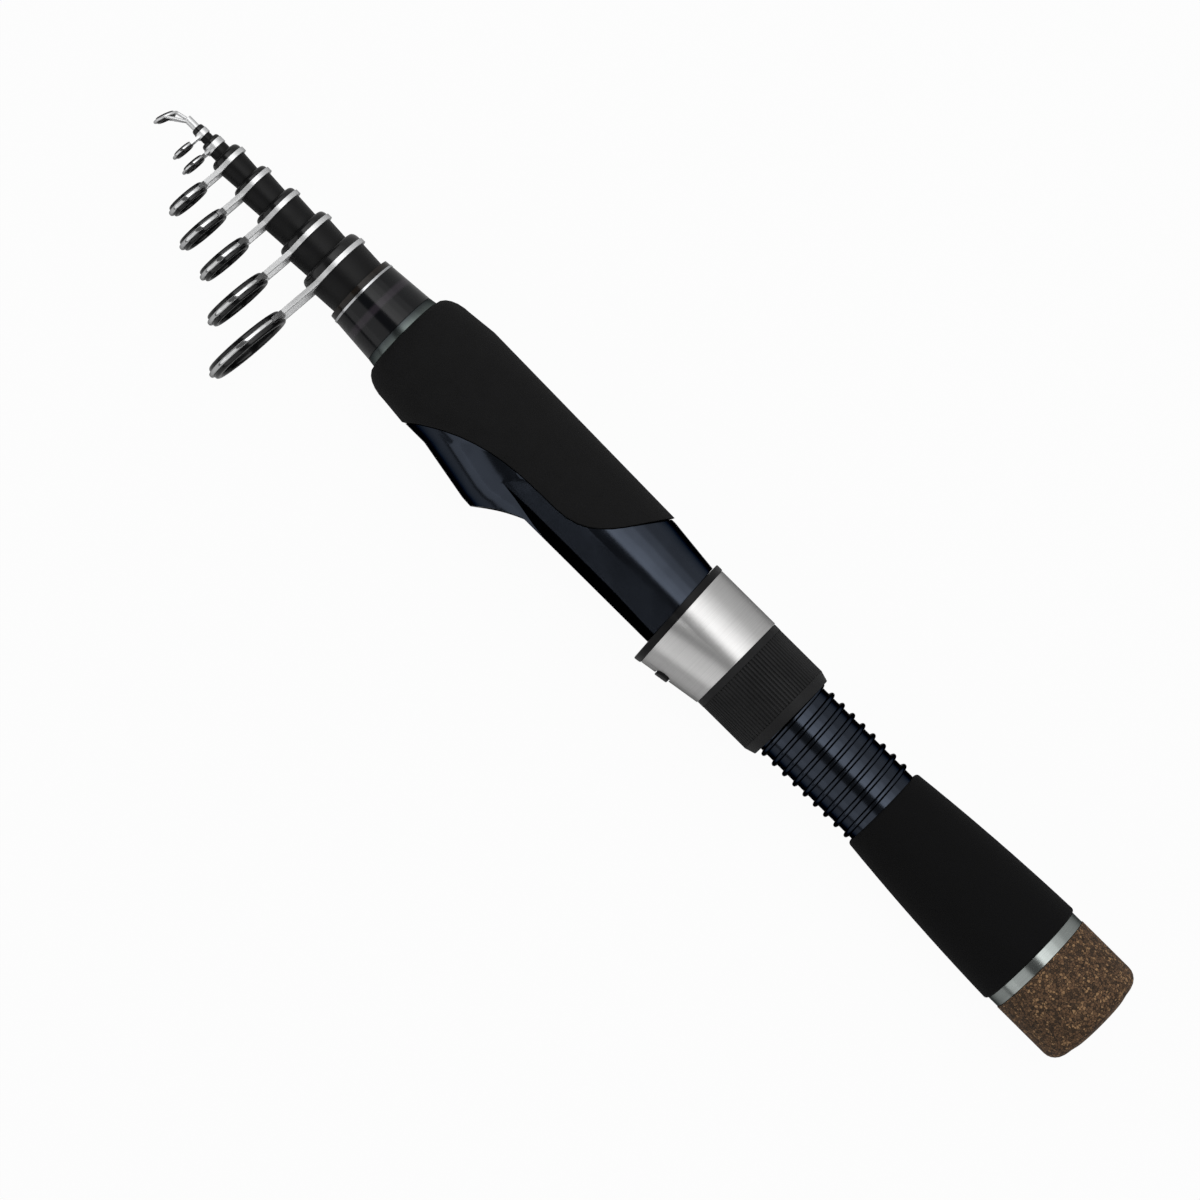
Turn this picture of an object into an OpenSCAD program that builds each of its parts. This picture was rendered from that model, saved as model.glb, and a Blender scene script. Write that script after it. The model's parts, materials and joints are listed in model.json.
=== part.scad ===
// Telescopic spinning rod, closed for travel.
// The rod lies along +X from its butt to its tip and its line guides point to +Y.
// The origin is the middle of the butt cap's rear face. Sections count from the tip, 1, to 8.

/* [Telescopic sections] */
// Radius of the solid tip rod at its front end
tip_r = 0.5; // [0.4:0.05:1]
// Tube wall of sections 2 to 8
tube_wall = [0.35, 0.45, 0.85, 0.65, 0.8, 1, 1.3]; // [0.3:0.05:2]
// Radial play of a closed section in the mouth that it slides through
slide_play = 0.3; // [0.2:0.02:0.6]
// Radial play that is left where a section jams when it is drawn out
jam_play = 0.06; // [0.03:0.01:0.12]
// Length of each section that stays in the next one when drawn out
overlap = 28; // [20:1:45]

/* [Guide collars] */
// Length of the collar behind each guide, sections 2 to 8
collar_l = [1.6, 2.2, 5.65, 6.35, 6.95, 6.55, 7.45]; // [1:0.05:12]
// Thickness of the collar over the tube, sections 2 to 8
collar_t = [0.45, 0.7, 0.7, 0.7, 0.7, 0.7, 0.7]; // [0.45:0.05:1.5]
// Length of the small guides' bands on the tube, sections 2 and 3
small_band_l = [1.6, 1.8]; // [0.8:0.1:3]
// Length of the nose in front of each guide, sections 2 to 8
nose_l = [1.4, 1.2, 2.05, 1.55, 1.75, 1.95, 2.75]; // [1:0.05:5]
// Step from collar to nose and from nose to band on the large guides
guide_step = 0.4; // [0.2:0.05:0.8]
// The same step on the two small guides
small_step = 0.15; // [0.1:0.05:0.3]

/* [Line guides] */
// Outer radius of each guide's rim, tip guide first
rim_r = [3.45, 3.6, 3.9, 6.3, 7.8, 8.1, 10, 12.75]; // [2.5:0.05:15]
// Distance from the rod's axis to the middle of each rim, tip guide first
rim_off = [3.7, 6.45, 7.2, 14.7, 17.6, 19.2, 24.2, 30.8]; // [2.5:0.05:36]
// Radial width of the metal rim
rim_t = 0.8; // [0.5:0.05:1.2]
// Radial width of each ceramic ring, tip guide first
ring_t = [0.7, 0.8, 1, 1.2, 1.4, 1.4, 1.6, 1.9]; // [0.6:0.05:2.5]
// Length of each ceramic ring along the line, tip guide first
ring_l = [1.6, 1.6, 1.8, 3, 3.1, 3.3, 3.5, 3.7]; // [1.2:0.1:4]
// Sheet thickness of the large guide frames, whose bands are as long
frame_t = 1.3; // [0.8:0.05:1.6]
// Sheet thickness of the small guide frames
small_frame_t = 0.7; // [0.4:0.05:0.8]
// Width of a leg on the large guides
leg_w = 1.7; // [1:0.1:2]
// Width of a leg on the small guides
small_leg_w = 0.8; // [0.5:0.05:1]
// Forward lean of the guides in degrees
guide_lean = 5; // [0:0.5:12]
// Forward lean of the tip guide's ring in degrees
tip_lean = 20; // [0:1:30]
// Length of the tip guide's socket on the tip rod
tip_tube_l = 3.4; // [2:0.1:8]
// Wall of the tip guide's socket
tip_tube_t = 0.55; // [0.3:0.05:0.8]
// Distance from the rear of the tip guide to the middle of its ring
tip_reach = 7.6; // [6.4:0.1:14]
// Radius of the tip guide's wire legs
tip_wire_r = 0.45; // [0.3:0.05:0.6]

/* [Handle blank] */
// Wall of the handle blank at its mouth
blank_wall = 1.5; // [1.2:0.05:3]
// Length of the lacquered wrap behind the mouth
wrap_l = 14.8; // [8:0.1:40]
// Thickness of the wrap at its front end
wrap_front_t = 0.3; // [0.3:0.05:1]
// Thickness of the wrap at its rear end
wrap_rear_t = 1.45; // [0.8:0.05:3]
// Length of wrap in front of the bright mouth ring
mouth_land = 1.6; // [1:0.1:4]
// Width of the bright mouth ring
mouth_ring_w = 0.7; // [0.5:0.1:1.5]
// Height of the mouth ring above the wrap
mouth_ring_h = 0.12; // [0.05:0.01:0.3]
// Length of the winding check in front of the foregrip
check_l = 2.4; // [1.5:0.1:8]
// Step of the winding check above the wrap
check_step = 0.35; // [0.1:0.05:1]

/* [Foregrip] */
// Length of the foam foregrip
fore_l = 84.4; // [80:0.1:120]
// Foam thickness over the seat's sleeve at the rear end
fore_wall = 3.65; // [3:0.05:6]
// Swell from the rear end to the fullest place
fore_swell = 1.3; // [0.5:0.1:3]
// Distance from the fullest place to the front end
fore_nose_l = 16; // [10:0.5:20]
// Narrowing from the fullest place to the front rounding
fore_nose_drop = 0.8; // [0.3:0.1:2]
// Height of the front edge's rounding
fore_round = 4.2; // [1:0.1:5]
// Length of the front edge's rounding
fore_round_l = 8; // [3:0.1:9.5]
// Length of foam in front of the seat's leaf tip
leaf_front = 14.8; // [11:0.1:17]
// Height of the level part of the foam's edge above the axis
edge_y = 4.6; // [2:0.1:7]
// Length over which the rear edge of the foam slants
edge_slant_l = 24.5; // [15:0.5:28]

/* [Reel seat] */
// Wall of the threaded barrel over the blank
seat_wall = 1.45; // [1:0.05:2.5]
// Height of the thread on the barrel
thread_h = 1; // [0.6:0.05:1.5]
// Length of the threaded barrel
thread_l = 75.1; // [60:0.1:120]
// Step from the thread's crest up to the smooth barrel
shoulder_h = 0.85; // [0.6:0.05:2]
// Rise of the smooth barrel towards the foregrip
barrel_rise = 1.6; // [0.2:0.05:2]
// Length of smooth barrel behind the foregrip
barrel_l = 15.1; // [10:0.1:40]
// Step of the barrel's straight sides in from its full width
side_in = 0.2; // [0.1:0.05:0.6]
// Half width of the land under the reel foot
land_half = 5.5; // [4:0.1:6.5]
// Slope of the bevels beside the land in degrees
bevel_slope = 19; // [15:1:40]
// Distance from the moving hood's foremost edge to the fixed hood's lip
reel_gap = 56.75; // [50:0.05:64]
// Height of the fixed hood's lip above the land
lip_h = 7.8; // [6:0.1:9]
// Length of the sweep from the lip down to the land
sweep_l = 12.5; // [6:0.5:16]
// Length over which the fixed hood grows out of the barrel behind its lip
flare_l = 25; // [20:0.5:30]
// Radius of the fixed hood's back
fixed_hood_r = 14.2; // [13:0.1:15]
// Fall of the fixed hood's back towards the tip in degrees
hood_fall = 10.6; // [8:0.2:12]
// Wall of both hoods over the reel foot
hood_wall = 2.4; // [1.8:0.1:3]
// Half width of the pockets for the reel foot
foot_half = 7.8; // [6.5:0.1:8.5]
// Depth of the fixed hood's pocket from its lip
foot_depth = 15; // [10:0.5:18]
// Step of the leaf's surface below the foam around it
leaf_step = 0.4; // [0.2:0.1:1]

/* [Moving hood and nut] */
// Length of the metal shell on the moving hood
shell_l = 19.4; // [14:0.1:26]
// Sheet thickness of the shell
shell_t = 0.6; // [0.4:0.05:0.8]
// Wall of the plastic core over the thread
core_t = 1.25; // [1:0.05:2]
// Rise of the hood over the reel foot at its front
hood_rise = 2.9; // [2.5:0.1:5]
// Narrowing of the raised part of the hood on each side
hood_ease = 0.15; // [0.05:0.05:0.5]
// Slant of the hood's front face in degrees, back from the reel foot
hood_slant = 3; // [0:0.5:6]
// Wall of the core over the reel foot
core_roof = 1.1; // [0.8:0.1:1.5]
// Length of the core's front lip
core_lip_l = 2.1; // [1:0.1:4]
// Step of the front lip above the shell
core_lip_h = 0.25; // [0.1:0.05:0.6]
// Depth of the core behind the reel foot pocket
core_back = 7; // [5:0.5:10]
// Radius of the locking button's round ends in the shell's window
button_r = 1.9; // [1:0.1:2.5]
// Half of the distance between the button's round ends, across the rod
button_half = 3.3; // [1:0.1:4]
// Height of the button above the shell
button_h = 0.6; // [0.1:0.05:1]
// Distance from the rear of the shell to the button
button_at = 11.2; // [6:0.1:14]
// Length of the lock nut
nut_l = 20.05; // [12:0.05:26]
// Wall of the lock nut over the thread
nut_wall = 1.7; // [1.3:0.05:3]
// Length of the nut's rear chamfer
nut_chamfer_l = 3; // [1:0.1:5]
// Fall of the nut's rear chamfer
nut_chamfer_h = 0.9; // [0.3:0.1:1]
// Plain border in front of the nut's ribs
nut_border = 2; // [0.8:0.1:3]
// Number of ribs round the nut
rib_count = 84; // [24:2:96]
// Height of the nut's ribs
rib_h = 0.35; // [0.2:0.05:0.5]
// Step of the ribs below the nut's plain border
rib_step = 0.05; // [0.03:0.01:0.2]
// Length of the nut's neck inside the hood
neck_l = 2; // [1:0.1:3]
// Wall of the nut's neck
neck_t = 0.5; // [0.4:0.05:0.7]

/* [Rear grip and butt cap] */
// Length of the foam rear grip
rear_grip_l = 54; // [42:0.1:160]
// Foam thickness over the butt socket at the rear end
rear_wall = 4.2; // [3:0.1:7]
// Foam thickness over the blank at the front end
rear_front_wall = 2.85; // [2:0.05:5]
// Swell of the grip's side between its ends
rear_swell = 0.5; // [0:0.1:2]
// Chamfer of the grip's end edges
grip_chamfer = 0.5; // [0.2:0.1:1]
// Wall of the metal butt socket over the blank
socket_wall = 2.15; // [1.5:0.05:3.5]
// Length of the socket that is glued over the blank
socket_grip_l = 13; // [8:0.5:20]
// Length of the butt plug's screw spigot
spigot_l = 11; // [8:0.5:18]
// Radial clearance of the sections in the plug's screw hole
loading_play = 0.3; // [0.2:0.05:1]
// Height of the plug's screw thread
plug_thread_h = 0.5; // [0.3:0.05:0.8]
// Wall of the hollow plug
plug_wall = 2; // [1.5:0.1:3]
// Wall of the plug's hub round its spigot
hub_t = 1.8; // [1:0.1:2.5]
// Thickness of the rubber bumper on the plug
bumper_t = 2; // [1:0.1:4]
// Length of the bright trim ring
trim_l = 3.5; // [2:0.1:8]
// Step of the trim ring below the cork
trim_step = 0.2; // [0.1:0.05:0.6]
// Length of the cork cap
cap_l = 21.6; // [17:0.1:40]
// Step of the cork cap below the grip's end
cap_step = 0.55; // [0.2:0.05:1.5]
// Rounding of the cork cap's rear edge
cap_round = 4; // [2:0.1:5]
// Height of the crown on the cork cap's rear face
cap_crown = 0.7; // [0.2:0.1:1.5]
// Radius of the flat in the middle of the rear face
cap_flat_r = 9; // [6:0.5:10]
// Depth of the plug's hub in the cork cap
hub_depth = 11.5; // [8:0.1:14]

/* [Fits] */
// Radial glue gap between pieces that are fixed together
glue = 0.05; // [0.02:0.01:0.1]
// Gap between end faces that meet
stop_gap = 0.05; // [0.02:0.01:0.2]
// Gap between the moving hood and the shoulder in front of it
hood_gap = 0.15; // [0.1:0.05:1]
// Radial clearance of the nut and hood over the thread
thread_play = 0.2; // [0.1:0.02:0.4]
// Clearance of the nut's neck in the hood, and of the button in its window
turn_play = 0.2; // [0.1:0.02:0.3]
// Gap between the foam's edge and the reel seat
edge_gap = 0.2; // [0.1:0.05:0.5]
// Gap between the bumper and the ends of the sections
bumper_gap = 0.5; // [0.3:0.1:2]

/* [Hidden] */
$fn = 72;
sections = 8;
leg_angle = 40;
arc_steps = 6;
edge_steps = 10;
far = 40;
past = 1;

// Handles of the foam edge's two curves and of the sweep to the lip, as shares of their lengths and heights
slant_handles = [0.33, 0.46];
slant_rise = 0.35;
leaf_handles = [0.34, 0.62];
sweep_handles = [0.55, 0.3];
sweep_rise = [0.3, 0.6];

// Rounded shares of a nose's length and height, of a ceramic ring's width and of a rim's thickness
nose_round_l = 0.8;
nose_round_h = 0.75;
ring_round = 0.42;
rim_round = 0.4;

// Corners of one rib on the nut: share of the rib's pitch, and 0 at its top or -1 at its foot
rib_corners = [[0.1, -1], [0.25, 0], [0.75, 0], [0.9, -1]];

first_nodes = [
    "handle_blank", "butt_socket", "rear_grip", "reel_seat", "foregrip", "winding_check",
    "front_wrap", "mouth_ring", "trim_ring", "butt_plug", "butt_cork", "butt_bumper",
    "hood_core", "hood_shell", "lock_nut", "tip_rod", "tip_top_frame", "tip_top_ring"
];
section_pieces = ["tube", "collar", "guide_frame", "guide_ring", "nose"];
section_nodes = [for (k = [2:sections]) for (piece = section_pieces) str(piece, "_", k)];

// Stations along the rod, from the butt towards the tip
z_trim = cap_l + stop_gap;
z_grip = z_trim + trim_l + stop_gap;
z_spigot_end = z_grip + spigot_l;
z_blank = z_spigot_end + bumper_t / 2;
z_bumper_end = z_spigot_end + bumper_t;
z_tubes = z_bumper_end + bumper_gap;
z_seat = z_grip + rear_grip_l;
z_shoulder = z_seat + thread_l;
z_fore = z_shoulder + barrel_l;
z_check = z_fore + fore_l;
z_wrap = z_check + check_l;
z_mouth = z_wrap + wrap_l;
z_leaf = z_check - leaf_front;
z_hood_front = z_shoulder - hood_gap;
z_shell_front = z_hood_front - core_lip_l;
z_hood = z_shell_front - shell_l;
z_nut_front = z_hood - stop_gap;
z_nut = z_nut_front - nut_l;
z_lip = z_hood_front + reel_gap;

// Radii of the tubes, from the tip towards the handle
function tube_r(k) = k == 1 ? tip_r : tube_r(k - 1) + slide_play + tube_wall[k - 2];
blank_r = tube_r(sections) + slide_play + blank_wall;
seat_bore_r = blank_r + glue;
root_r = seat_bore_r + seat_wall;
crest_r = root_r + thread_h;
nut_bore_r = crest_r + thread_play;
nut_r = nut_bore_r + nut_wall;
core_r = nut_bore_r + core_t;
shell_bore_r = core_r + glue;
shell_r = shell_bore_r + shell_t;
neck_r = nut_bore_r + neck_t;
barrel_r = crest_r + shoulder_h;
barrel_full_r = barrel_r + barrel_rise;
sleeve_r = root_r + thread_h / 2;
fore_bore_r = sleeve_r + glue;
fore_r = fore_bore_r + fore_wall;
fore_full_r = fore_r + fore_swell;
leaf_r = fore_full_r - leaf_step;
socket_r = seat_bore_r + socket_wall;
rear_r = socket_r + glue + rear_wall;
rear_front_r = seat_bore_r + rear_front_wall;
cap_r = rear_r - cap_step;
trim_r = cap_r - trim_step;
screw_hole_r = tube_r(sections) + slide_play + loading_play + plug_thread_h;
spigot_r = screw_hole_r - turn_play;
hub_r = spigot_r + hub_t;
land_y = crest_r;
lip_y = land_y + lip_h;

// Places and fits of the telescopic sections
function front_z(k) = base_z(k) + (k == 1 ? tip_tube_l : collar_l[k - 2] + band_l(k) + nose_l[k - 2]);
function mouth_z(k) = k == sections ? z_mouth : front_z(k + 1);
function base_z(k) = mouth_z(k) + stop_gap;
function band_z(k) = base_z(k) + collar_l[k - 2];
function nose_z(k) = band_z(k) + band_l(k);
function travel(k) = mouth_z(k) - z_tubes - overlap;
function slope(k) = (slide_play - jam_play) / (travel(k) + front_z(k) - mouth_z(k));
function tube_out(k, z) = tube_r(k) + slope(k) * (front_z(k) - z);
function mouth_bore(k, z) = tube_r(k) + slide_play + slope(k) * (mouth_z(k) - z);

// Sizes of the guides
function is_small(k) = k < 4;
function step(k) = is_small(k) ? small_step : guide_step;
function collar_rear_r(k) = tube_r(k) + collar_t[k - 2];
function collar_front_r(k) = collar_rear_r(k) + (is_small(k) ? 0 : guide_step);
function nose_r(k) = collar_front_r(k) + step(k);
function band_r(k) = nose_r(k) + step(k);
function sheet_t(k) = is_small(k) ? small_frame_t : frame_t;
function band_l(k) = is_small(k) ? small_band_l[k - 2] : frame_t;
function strap_w(k) = is_small(k) ? small_leg_w : leg_w;
function leg_out(k) = band_r(k) * cos(leg_angle) + strap_w(k) / 2;
function leg_in(k) = leg_out(k) - strap_w(k);
function bend_y(k) = sqrt(nose_r(k) * nose_r(k) - leg_in(k) * leg_in(k)) + glue;
function rim_at(k) = (rim_off[k - 1] - bend_y(k)) / cos(guide_lean);
function ring_bore_r(k) = rim_r[k - 1] - rim_t - ring_t[k - 1];

// Points of an arc, of a cubic curve, and of a strap between two points
function arc(c, r, from, to) = [
    for (i = [0:arc_steps]) c + r * [cos(from + (to - from) * i / arc_steps), sin(from + (to - from) * i / arc_steps)]
];
function curve_point(p, t) =
    pow(1 - t, 3) * p[0] + 3 * t * pow(1 - t, 2) * p[1] + 3 * t * t * (1 - t) * p[2] + pow(t, 3) * p[3];
function curve(p) = [for (i = [0:edge_steps]) curve_point(p, i / edge_steps)];
function strap(p, q, w) =
    let (along = (q - p) / norm(q - p), side = [-along[1], along[0]] * w / 2)
    [p - side, q - side, q + side, p + side];

// Turns a shape that is drawn along Z so that it runs along the rod
module along_rod() {
    rotate([0, 90, 0]) children();
}

// Solid of revolution about the rod, from points of radius and station
module turned(points) {
    along_rod() rotate_extrude() polygon(points);
}

// Ring round the rod between two stations
module rod_ring(from, to, r_in, r_out) {
    turned([[r_in, from], [r_out, from], [r_out, to], [r_in, to]]);
}

// Solid cylinder on the rod's axis between two stations
module rod_cylinder(from, to, r) {
    turned([[0, from], [r, from], [r, to], [0, to]]);
}

// Prism across the rod, from an outline of station and height
module across_rod(outline, half_width) {
    translate([0, 0, -half_width]) linear_extrude(2 * half_width) polygon(outline);
}

// Cylinder whose axis leans by an angle from the rod's axis, through a given station and height
module leaning_cylinder(z, y, lean, r, behind, ahead) {
    translate([z, y, 0]) rotate([0, 0, lean]) rod_cylinder(-behind, ahead, r);
}

// Round wire between two points
module wire(p, q, r) {
    d = q - p;
    l = norm(d);
    translate(p) rotate([0, acos(d[2] / l), atan2(d[1], d[0])]) cylinder(h = l, r = r);
}

module handle_blank() {
    color("#26282c")
        turned([
            [mouth_bore(sections, z_blank), z_blank], [blank_r, z_blank],
            [blank_r, z_mouth], [mouth_bore(sections, z_mouth), z_mouth]
        ]);
}

// Metal bush that is glued over the blank's end and takes the butt plug's screw
module butt_socket() {
    z_end = z_blank + socket_grip_l;
    color("#a9adb0")
        turned([
            [screw_hole_r, z_grip], [socket_r, z_grip], [socket_r, z_end],
            [seat_bore_r, z_end], [seat_bore_r, z_blank - stop_gap], [screw_hole_r, z_blank - stop_gap]
        ]);
}

// Radius of the rear grip's side, 0 at its rear end and 1 at its front end
function rear_side(t) = rear_r + (rear_front_r - rear_r) * t + 4 * rear_swell * t * (1 - t);

module rear_grip() {
    z_front = z_seat - stop_gap;
    z_step = z_blank + socket_grip_l + stop_gap;
    side_l = z_front - z_grip - 2 * grip_chamfer;
    side = [
        for (i = [0:edge_steps])
            [rear_side(i / edge_steps), z_grip + grip_chamfer + side_l * i / edge_steps]
    ];
    color("#161617")
        turned(concat(
            [[rear_r - grip_chamfer, z_grip]], side,
            [
                [rear_front_r - grip_chamfer, z_front], [seat_bore_r, z_front],
                [seat_bore_r, z_step], [socket_r + glue, z_step], [socket_r + glue, z_grip]
            ]
        ));
}

// Edge of the foam on the seat, seen from the side: slanted, level, then up to the leaf's tip
edge_low_y = -fore_full_r - edge_gap;
edge_high_y = fore_full_r + edge_gap;
z_level = z_fore + edge_slant_l;
level_l = z_leaf - z_level;
slant_curve = curve([
    [z_fore, edge_low_y], [z_fore + slant_handles[0] * edge_slant_l, slant_rise * edge_low_y],
    [z_fore + slant_handles[1] * edge_slant_l, edge_y], [z_level, edge_y]
]);
leaf_curve = curve([
    [z_level, edge_y], [z_level + leaf_handles[0] * level_l, edge_y],
    [z_level + leaf_handles[1] * level_l, edge_y], [z_leaf, edge_high_y]
]);
foam_edge = concat(slant_curve, [for (i = [1:edge_steps]) leaf_curve[i]]);

// Outline that the foam leaves open for the seat
function seat_window() = concat(foam_edge, [[z_leaf, far], [z_fore - far, far], [z_fore - far, edge_low_y]]);

// Sweep of the fixed hood's cheeks from the land up to the lip
cheek_curve = curve([
    [z_lip - sweep_l, land_y], [z_lip - sweep_handles[0] * sweep_l, land_y + sweep_rise[0] * lip_h],
    [z_lip - sweep_handles[1] * sweep_l, land_y + sweep_rise[1] * lip_h], [z_lip, lip_y]
]);

// Side outline of the moulded seat in front of its slanted shoulder, clear of the foam's edge
function seat_outline() = concat(
    [[slanted(z_shoulder, edge_low_y, hood_slant), edge_low_y], [z_fore - edge_gap, edge_low_y]],
    [for (p = foam_edge) p + [-edge_gap, edge_gap]],
    [[z_leaf - edge_gap, lip_y]],
    [for (i = [edge_steps:-1:0]) cheek_curve[i]],
    [[slanted(z_shoulder, land_y, hood_slant), land_y]]
);

// Height of the fixed hood's own axis at its lip and at the rear of its flare, which starts at the land's edges
fixed_hood_y = lip_y - fixed_hood_r / cos(hood_fall);
flare_y = fixed_hood_y + flare_l * sin(hood_fall);
flare_rear_r = norm([land_half - glue, land_y - flare_y]);

// Radius of the fixed hood behind its lip, 0 at the rear of the flare and 1 at the lip
function flare_r(t) = flare_rear_r + (fixed_hood_r - flare_rear_r) * (1 - cos(180 * t)) / 2;

// Straight sides from the barrel's full width down to the land, drawn in under the fixed hood
module seat_sides() {
    side = [
        [slanted(z_shoulder, land_y, hood_slant), barrel_r - side_in], [z_shoulder, barrel_r - side_in],
        [z_fore, barrel_full_r - side_in], [z_lip - flare_l / 2, barrel_full_r - side_in],
        [z_lip, fixed_hood_r - hood_wall / 2]
    ];
    rotate([-90, 0, 0])
        linear_extrude(land_y + past)
            polygon(concat(side, [for (i = [len(side) - 1:-1:0]) [side[i][0], -side[i][1]]]));
}

// Smooth barrel with its land for the reel foot and a bevel on each side of the land
module seat_barrel() {
    drop = (far - land_half) * tan(bevel_slope);
    z_rear = slanted(z_shoulder, land_y, hood_slant);
    intersection() {
        union() {
            turned([
                [0, z_rear], [barrel_r, z_rear], [barrel_r, z_shoulder],
                [barrel_full_r, z_fore], [barrel_full_r, z_lip], [0, z_lip]
            ]);
            seat_sides();
        }
        translate([z_rear - past, 0, 0])
            rotate([90, 0, 90])
                linear_extrude(z_lip - z_rear + 2 * past)
                    polygon([
                        [land_y, land_half], [land_y - drop, far], [-far, far],
                        [-far, -far], [land_y - drop, -far], [land_y, -land_half]
                    ]);
    }
}

// Full hood and leaf, before the side outline trims them
module seat_hood() {
    translate([z_lip, fixed_hood_y, 0])
        rotate([0, 0, -hood_fall])
            turned(concat(
                [[0, -flare_l]],
                [for (i = [0:arc_steps]) [flare_r(i / arc_steps), flare_l * (i / arc_steps - 1)]],
                [[fixed_hood_r, z_leaf - z_lip], [0, z_leaf - z_lip]]
            ));
    turned([
        [0, z_lip - sweep_l / 2], [barrel_full_r - leaf_step, z_lip - sweep_l / 2],
        [leaf_r, (z_lip + z_leaf) / 2], [leaf_r, z_leaf], [0, z_leaf]
    ]);
}

// Space for the front of the reel foot under the fixed hood
module foot_pocket() {
    z_open = z_lip - flare_l;
    z_end = z_lip + foot_depth;
    intersection() {
        leaning_cylinder(
            z_lip, fixed_hood_y, -hood_fall, fixed_hood_r - hood_wall, 2 * flare_l, 2 * foot_depth
        );
        across_rod([[z_open, land_y], [z_end, land_y], [z_end, far], [z_open, far]], foot_half);
    }
}

// Moulded reel seat: threaded barrel, smooth barrel with land, fixed hood and sleeve under the foam
module reel_seat() {
    color("#10131c")
        difference() {
            union() {
                rod_cylinder(z_seat, z_shoulder + past, root_r);
                rod_cylinder(z_shoulder, z_leaf - edge_gap, sleeve_r);
                intersection() {
                    union() {
                        seat_barrel();
                        seat_hood();
                    }
                    across_rod(seat_outline(), far);
                }
            }
            foot_pocket();
            rod_cylinder(z_seat - past, z_leaf + past, seat_bore_r);
        }
}

module foregrip() {
    z_full = z_check - fore_nose_l;
    corner_r = fore_full_r - fore_nose_drop;
    corner = [
        for (p = arc([0, 0], 1, 0, 90))
            [corner_r - fore_round + fore_round * p[0], z_check - fore_round_l + fore_round_l * p[1]]
    ];
    color("#1b1b1c")
        difference() {
            turned(concat(
                [[fore_bore_r, z_fore], [fore_r - grip_chamfer, z_fore], [fore_r, z_fore + grip_chamfer]],
                [[fore_full_r, z_full]], corner,
                [
                    [seat_bore_r, z_check], [seat_bore_r, z_leaf + edge_gap],
                    [fore_bore_r, z_leaf + edge_gap]
                ]
            ));
            across_rod(seat_window(), far);
        }
}

module winding_check() {
    z_from = z_check + stop_gap;
    z_to = z_wrap - stop_gap;
    color("#8b9096")
        turned([
            [seat_bore_r, z_from], [blank_r + wrap_rear_t + check_step, z_from],
            [blank_r + wrap_rear_t, z_to], [seat_bore_r, z_to]
        ]);
}

// Outer radius of the front wrap at a station
function wrap_r(z) = blank_r + wrap_rear_t + (wrap_front_t - wrap_rear_t) * (z - z_wrap) / wrap_l;
z_mouth_ring = z_mouth - mouth_land - mouth_ring_w;
mouth_groove_r = blank_r + wrap_front_t / 2;

module front_wrap() {
    z_ring_end = z_mouth_ring + mouth_ring_w;
    color("#2b2e33")
        turned([
            [seat_bore_r, z_wrap], [wrap_r(z_wrap), z_wrap], [wrap_r(z_mouth_ring), z_mouth_ring],
            [mouth_groove_r, z_mouth_ring], [mouth_groove_r, z_ring_end],
            [wrap_r(z_ring_end), z_ring_end], [wrap_r(z_mouth), z_mouth], [seat_bore_r, z_mouth]
        ]);
}

module mouth_ring() {
    color("#d6d8da")
        rod_ring(
            z_mouth_ring + stop_gap, z_mouth_ring + mouth_ring_w - stop_gap,
            mouth_groove_r + glue / 2, wrap_r(z_mouth_ring) + mouth_ring_h
        );
}

// Loose ring on the butt plug's hub, held between the cork and the grip
module trim_ring() {
    color("#aab3b2") rod_ring(z_trim, z_trim + trim_l, hub_r + turn_play, trim_r);
}

// Hollow screw plug: hub in the cork, spigot in the butt socket
module butt_plug() {
    z_hub = cap_l - hub_depth;
    z_shelf = z_grip - stop_gap;
    color("#9da2a5")
        turned([
            [0, z_hub + stop_gap], [hub_r, z_hub + stop_gap], [hub_r, z_shelf], [spigot_r, z_shelf],
            [spigot_r, z_spigot_end], [spigot_r - plug_wall, z_spigot_end],
            [spigot_r - plug_wall, z_hub + plug_wall], [0, z_hub + plug_wall]
        ]);
}

module butt_cork() {
    z_hub = cap_l - hub_depth;
    color("#5a4433")
        turned(concat(
            [[0, 0], [cap_flat_r, 0]],
            arc([cap_r - cap_round, cap_crown + cap_round], cap_round, -90, 0),
            [[cap_r, cap_l], [hub_r + glue, cap_l], [hub_r + glue, z_hub], [0, z_hub]]
        ));
}

// Rubber pad on the plug that the closed sections rest on, with a stem in the hollow plug
module butt_bumper() {
    stem_r = spigot_r - plug_wall - glue;
    z_stem = z_spigot_end - spigot_l / 2;
    color("#2a2a2a")
        turned([
            [0, z_stem], [stem_r, z_stem], [stem_r, z_spigot_end + stop_gap],
            [spigot_r - plug_thread_h, z_spigot_end + stop_gap],
            [spigot_r - plug_thread_h, z_bumper_end], [0, z_bumper_end]
        ]);
}

hood_tilt = atan((hood_rise + hood_ease) / shell_l);

// Station of a face that slants back towards the reel foot, at a height above the axis
function slanted(z, y, slant) = z - (y + shell_r) * tan(slant);

// Round body that opens out over the reel foot towards the front, between a rear face and a slanted front face
module hood_form(from, to, r, rear_slant = 0) {
    intersection() {
        union() {
            rod_cylinder(z_hood - far, z_hood + far, r);
            leaning_cylinder(z_hood, 0, hood_tilt, r - hood_ease, shell_l, 2 * shell_l);
        }
        across_rod(
            [
                [slanted(from, -far, rear_slant), -far], [slanted(to, -far, hood_slant), -far],
                [slanted(to, far, hood_slant), far], [slanted(from, far, rear_slant), far]
            ],
            far
        );
    }
}

// Upright peg with round ends at the button's place
module button_peg(r, from, to) {
    translate([z_hood + button_at, from, 0])
        rotate([-90, 0, 0])
            linear_extrude(to - from)
                polygon(concat(arc([0, button_half], r, 0, 180), arc([0, -button_half], r, 180, 360)));
}

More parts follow.
